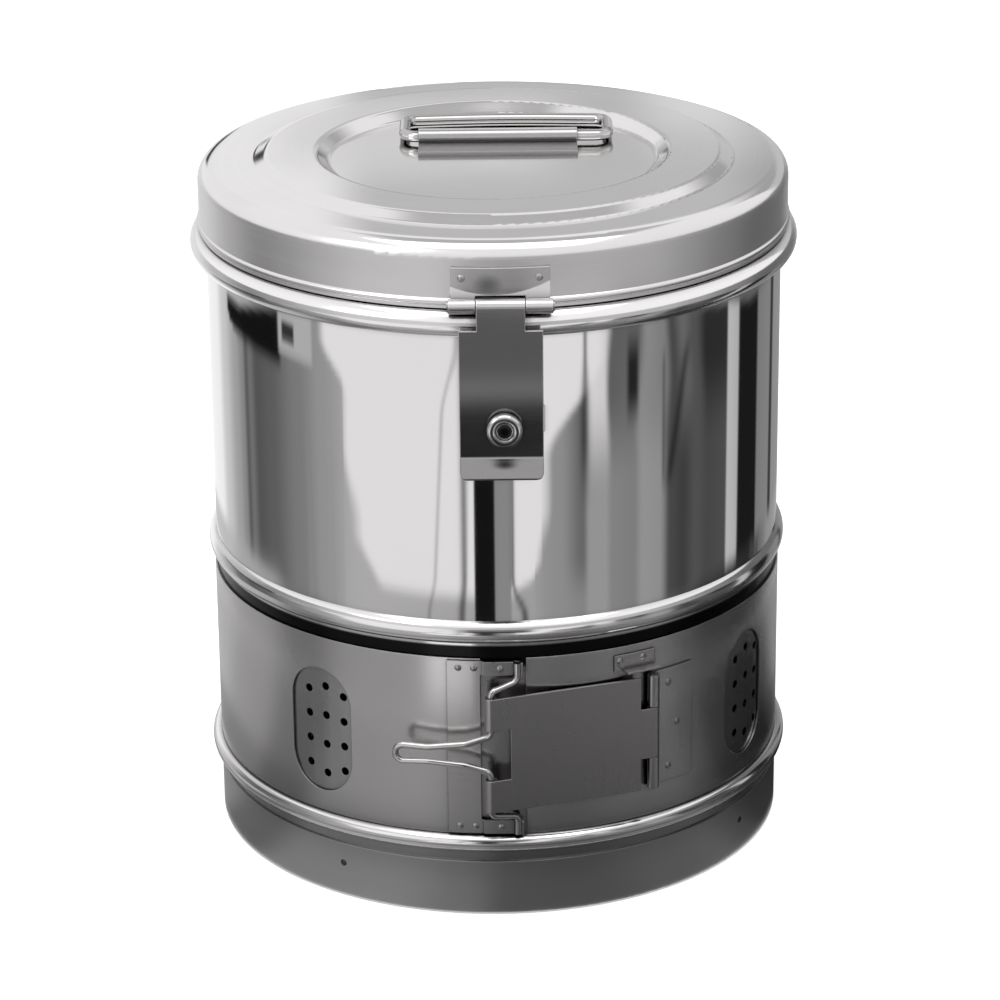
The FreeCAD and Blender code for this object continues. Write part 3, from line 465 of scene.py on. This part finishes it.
def make_world():
    """White behind the drum and in its reflections; dimmer as light."""
    world = bpy.data.worlds.new("studio")
    bpy.context.scene.world = world
    tree = bare_tree(world)
    plain = add(tree, "ShaderNodeBackground")
    plain.inputs["Color"].default_value = (1, 1, 1, 1)
    join(tree, ranged(tree, seen_mask(tree), world_level, 1.0), plain.inputs["Strength"])
    join(tree, plain.outputs[0], add(tree, "ShaderNodeOutputWorld").inputs["Surface"])


def lamp(name, place, aim, size, energy):
    """A square soft lamp."""
    data = bpy.data.lights.new(name, "AREA")
    data.shape = "SQUARE"
    data.size = size
    data.energy = energy
    thing = bpy.data.objects.new(name, data)
    thing.location = place
    thing.rotation_mode = "QUATERNION"
    thing.rotation_quaternion = (Vector(aim) - Vector(place)).to_track_quat("-Z", "Y")
    bpy.context.scene.collection.objects.link(thing)


def glow_material():
    """Plain glow at the level that the mesh carries at its points; it paints the reflections in the steel.
    """
    material = bpy.data.materials.new("studio_glow")
    tree = bare_tree(material)
    level = add(tree, "ShaderNodeAttribute", attribute_name="level")
    glow = add(tree, "ShaderNodeEmission")
    join(tree, level.outputs["Fac"], glow.inputs["Strength"])
    join(tree, glow.outputs[0], add(tree, "ShaderNodeOutputMaterial").inputs["Surface"])
    return material


# What the tent shows: painted levels for the reflections in the steel. Azimuths count from the front, right
# positive, in degrees; heights in metres.
def smooth(value, start, end):
    """0 at start, 1 at end, with a smooth rise between; end may lie below start."""
    share = max(0.0, min(1.0, (value - start) / (end - start)))
    return share * share * (3 - 2 * share)


def within(value, low, high, soft):
    """1 between two limits, falling smoothly to 0 over a soft width outside them."""
    return smooth(value, low - soft, low) * smooth(value, high + soft, high)


def mixed(level, other, share):
    return level + (other - level) * share


def knotted(knots, azimuth):
    """Level at an azimuth between knots of azimuth and level, given from left to right."""
    for (start, low), (end, high) in zip(knots, knots[1:]):
        if azimuth <= end:
            return mixed(low, high, smooth(azimuth, start, end))
    return knots[-1][1]


def line(level, azimuth, centre, width, depth):
    """Darkens a level near a centre azimuth."""
    return level * (1 - depth * math.exp(-((azimuth - centre) / width) ** 2))


def room_walls(azimuth, top, foot):
    """Grey walls and streaks; top and foot say how far a height is in the upper or the lower part."""
    return knotted([
        (-180, 1.0), (-127, 1.0), (-118, 0.68), (-107, 0.42), (-102, 0.30), (-99, 0.13), (-96.5, 0.20),
        (-92, 0.11), (-84, 0.135), (-70, 0.24), (-60, 0.35), (-44, 0.50), (8, 0.42), (20, 0.33),
        (28, 0.17 + 0.12 * foot), (30.5, 0.37 + 0.44 * top), (35.5, 0.37 + 0.40 * top),
        (38.5, 0.28 - 0.14 * top), (46, 0.26 - 0.10 * top), (49.5, 0.36 - 0.06 * top),
        (56, 0.34 - 0.08 * top), (60.5, 0.08), (66, 0.06 + 0.10 * top), (72, 0.10),
        (78, 0.08 - 0.05 * top), (87.6, 0.09 - 0.06 * top), (89.0, 0.58), (94.6, 0.52), (96.2, 0.012),
        (109.0, 0.012), (111.5, 0.24), (123.5, 0.26), (125.5, 0.05), (127.5, 0.05), (130, 0.30),
        (172, 0.34), (180, 1.0)], azimuth)


def room_level(azimuth, height):
    """The walls, with a dark wedge at the right, and a dark shade with a pane at the upper left."""
    top = smooth(height, 0.10, 0.15)
    foot = smooth(height, 0.075, 0.05)
    bend = 1.4 * math.sin(60 * height + azimuth / 7) * top * within(azimuth, 40, 78, 8)
    level = room_walls(azimuth + bend, top, foot)
    level = mixed(level, 0.50, 0.7 * within(azimuth, -108, -84, 6) * smooth(height, 0.055, 0.02))
    level = mixed(level, 0.02, within(azimuth, 44.5, 46.5, 2) * within(height, 0.146, 0.156, 0.022))
    wedge = within(height, 0.105, 0.150, 0.015)
    level = line(level, azimuth, 60 + 130 * (height - 0.10), 1.6, 0.6 * wedge)
    level = line(level, azimuth, 57.5, 0.6, 0.5 * wedge)
    shade = within(azimuth, -112 + 900 * max(0.0, 0.150 - height), -79, 2)
    level = mixed(level, black, shade * smooth(height, 0.140, 0.149))
    pane = within(azimuth, -78, -64, 1.5) * smooth(height, 0.149, 0.153)
    level = mixed(level, 0.50, pane)
    return mixed(level, 0.03, within(azimuth, -76.5, -71.5, 0.8) * within(height, 0.158, 0.166, 0.001))


def window_share(azimuth, height):
    """A window in front of the drum that narrows downward."""
    left = (-50 - 9 * smooth(height, 0.143, 0.166) + 4 * smooth(height, 0.12, 0.085)
            + 8 * smooth(height, 0.08, 0.053))
    right = (16.5 + 18 * smooth(height, 0.12, 0.165) - 3 * smooth(height, 0.10, 0.07)
             - 9 * smooth(height, 0.074, 0.055))
    return within(azimuth, left + 2, right - 2, 4) * smooth(height, 0.053, 0.062)


def body_level(azimuth, height):
    """The room with the bright window, thin curved lines in it, and dark bars behind the hasp."""
    level = mixed(room_level(azimuth, height), 0.90, window_share(azimuth, height))
    foot = smooth(height, 0.066, 0.048)
    curve = -20.5 + 37 * (height - 0.05) + 3 * smooth(height, 0.14, 0.17) - 1.5 * foot
    level = line(level, azimuth, curve, 0.6, 0.35)
    level = line(level, azimuth, -11.8 - 0.6 * foot, 0.75, 0.75)
    width = 0.7 + 0.9 * smooth(height, 0.168, 0.14)
    level = line(level, azimuth, 28.8, width, 0.72 * smooth(height, 0.09, 0.13))
    level = mixed(level, 0.29, within(azimuth, -0.7, 4.2, 0.7))
    level = line(level, azimuth, 5.0 + 3 * foot, 0.65, 0.80)
    level = mixed(level, black, within(azimuth, -6.9, -0.9, 0.5))
    hidden = within(azimuth, -9, 9, 3) * smooth(height, 0.112, 0.118)
    plate = 0.025 + 0.12 * smooth(height, 0.150, 0.157) + 0.13 * within(height, 0.158, 0.162, 0.004)
    return mixed(level, plate + 0.16 * smooth(height, 0.195, 0.210), hidden)


def lid_level(azimuth):
    """Softer walls for the lid's satin side."""
    return knotted([
        (-180, 1.0), (-125, 0.8), (-102, 0.50), (-84, 0.27), (-70, 0.35), (-56, 0.50), (-42, 0.64),
        (-18, 0.68), (-4, 0.52), (8, 0.47), (35, 0.52), (52, 0.50), (64, 0.38), (80, 0.24),
        (100, 0.14), (125, 0.18), (150, 0.6), (180, 1.0)], azimuth)


def ground_level(azimuth):
    """The lowest part of the walls and the table."""
    return knotted([
        (-180, 0.7), (-122, 0.60), (-104, 0.46), (-88, 0.42), (-76, 0.22), (-64, 0.20), (-52, 0.38),
        (-24, 0.40), (-8, 0.28), (2, 0.14), (20, 0.13), (40, 0.18), (55, 0.20), (66, 0.12),
        (75, 0.05), (104, 0.03), (112, 0.10), (126, 0.32), (180, 0.7)], azimuth)


def table_level(azimuth, radius):
    """The table, with a dimmer ring a little way out from the drum."""
    return ground_level(azimuth) * (1 - 0.38 * within(radius, 0.160, 0.185, 0.018))


def tent_level(azimuth, height):
    """Ground, room and the lid's surroundings one above the other."""
    low = ground_level(azimuth)
    low = mixed(low, 1.15, within(azimuth, -21, -10, 4) * smooth(height, 0.007, 0.013))
    level = mixed(low, body_level(azimuth, height), smooth(height, 0.034, 0.046))
    start = 0.182 - 0.020 * min(1.3, (azimuth / 90) ** 2)
    above = mixed(lid_level(azimuth), 0.14, within(azimuth, -9, 9, 3) * smooth(height, 0.203, 0.196))
    return mixed(level, above, smooth(height, start, start + 0.006))


def back_level(azimuth, height):
    """The wall behind the lid: white at the left with a dark pane, grey in the middle, white at the top."""
    side = 180 - azimuth
    level = 0.16 + 0.42 * smooth(height, 0.29, 0.345)
    level = mixed(level, 0.80, smooth(side, 9, 15) * smooth(height, 0.385, 0.36))
    level = mixed(level, 0.97, smooth(side, -9, -14))
    level *= 1 - 0.25 * smooth(side, 17, 23)
    level = mixed(level, 0.78, within(height, 0.362, 0.384, 0.008) * within(side, -14, 2, 6))
    level = mixed(level, 0.02, within(height, 0.300, 0.340, 0.006) * within(side, -33, -24, 2))
    return mixed(level, 1.0, smooth(height, 0.43, 0.58))


def ceiling_level(across, away):
    """A grey field in a white ceiling."""
    return 1.0 - 0.46 * within(across, -0.20, 0.34, 0.12) * within(away, 0.02, 0.46, 0.08)


def evenly(low, high, count):
    """Evenly spaced values from low to high."""
    return [low + (high - low) * i / (count - 1) for i in range(count)]


def around(radius, azimuth, height):
    """A place at an azimuth round the drum's axis."""
    angle = math.radians(azimuth)
    return (radius * math.sin(angle), -radius * math.cos(angle), height)


def reflected_sheet(name, columns, rows, point_at, level_at, material):
    """A glowing grid that only reflections see; each pair of a column's and a row's value is a point."""
    pairs = [(column, row) for column in columns for row in rows]
    count = len(rows)
    corners = [c * count + r for c in range(len(columns) - 1) for r in range(count - 1)]
    faces = [(first, first + count, first + count + 1, first + 1) for first in corners]
    mesh = bpy.data.meshes.new(name)
    mesh.from_pydata([point_at(*pair) for pair in pairs], [], faces)
    attribute = mesh.attributes.new("level", "FLOAT", "POINT")
    attribute.data.foreach_set("value", [level_at(*pair) for pair in pairs])
    mesh.materials.append(material)
    thing = bpy.data.objects.new(name, mesh)
    bpy.context.scene.collection.objects.link(thing)
    for ray in ("camera", "diffuse", "transmission", "volume_scatter", "shadow"):
        setattr(thing, "visible_" + ray, False)


def make_tent():
    """The tent's wall, the wall behind the lid, the ceiling and the table: glowing sheets that paint the
    reflections in the steel.
    """
    glow = glow_material()
    reflected_sheet("tent_wall", evenly(-180, 180, 1441), evenly(tent_foot, tent_top, 90),
                    lambda azimuth, height: around(tent_radius, azimuth, height), tent_level, glow)
    reflected_sheet("back_wall", evenly(*back_azimuths, 121), evenly(tent_top, back_top, 60),
                    lambda azimuth, height: around(back_radius, azimuth, height), back_level, glow)
    reflected_sheet("ceiling", evenly(-ceiling_half, ceiling_half, 61),
                    evenly(ceiling_near, ceiling_far, 60),
                    lambda across, away: (across, away, ceiling_height), ceiling_level, glow)
    reflected_sheet("table", evenly(-180, 180, 361),
                    evenly(drum_radius + table_gap, tent_radius - tent_foot, 30),
                    lambda azimuth, radius: around(radius, azimuth, table_height), table_level, glow)


def make_camera():
    """The photograph's view."""
    yaw, pitch, roll = (math.radians(angle) for angle in (camera_yaw, camera_pitch, camera_roll))
    level = Vector((-math.sin(yaw), math.cos(yaw), 0))
    side = Vector((math.cos(yaw), math.sin(yaw), 0))
    up = Vector((0, 0, 1))
    ahead = level * math.cos(pitch) - up * math.sin(pitch)
    top = level * math.sin(pitch) + up * math.cos(pitch)
    right = side * math.cos(roll) + top * math.sin(roll)
    top = top * math.cos(roll) - side * math.sin(roll)
    data = bpy.data.cameras.new("photo_camera")
    data.sensor_width = camera_sensor
    data.lens = camera_lens
    camera = bpy.data.objects.new("photo_camera", data)
    turn = Matrix((right, top, -ahead)).transposed().to_4x4()
    camera.matrix_world = Matrix.Translation((0, -camera_distance, camera_height)) @ turn
    bpy.context.scene.collection.objects.link(camera)
    bpy.context.scene.camera = camera


dress_nodes()
make_floor()
make_world()
make_tent()
lamp("top_lamp", place=(0.0, -0.2, 1.6), aim=(0, 0, 0.2), size=1.4, energy=9)
lamp("left_lamp", place=(-1.3, -1.2, 1.2), aim=(0, 0, 0.15), size=0.9, energy=7)
make_camera()
bpy.context.scene.view_settings.view_transform = "Standard"
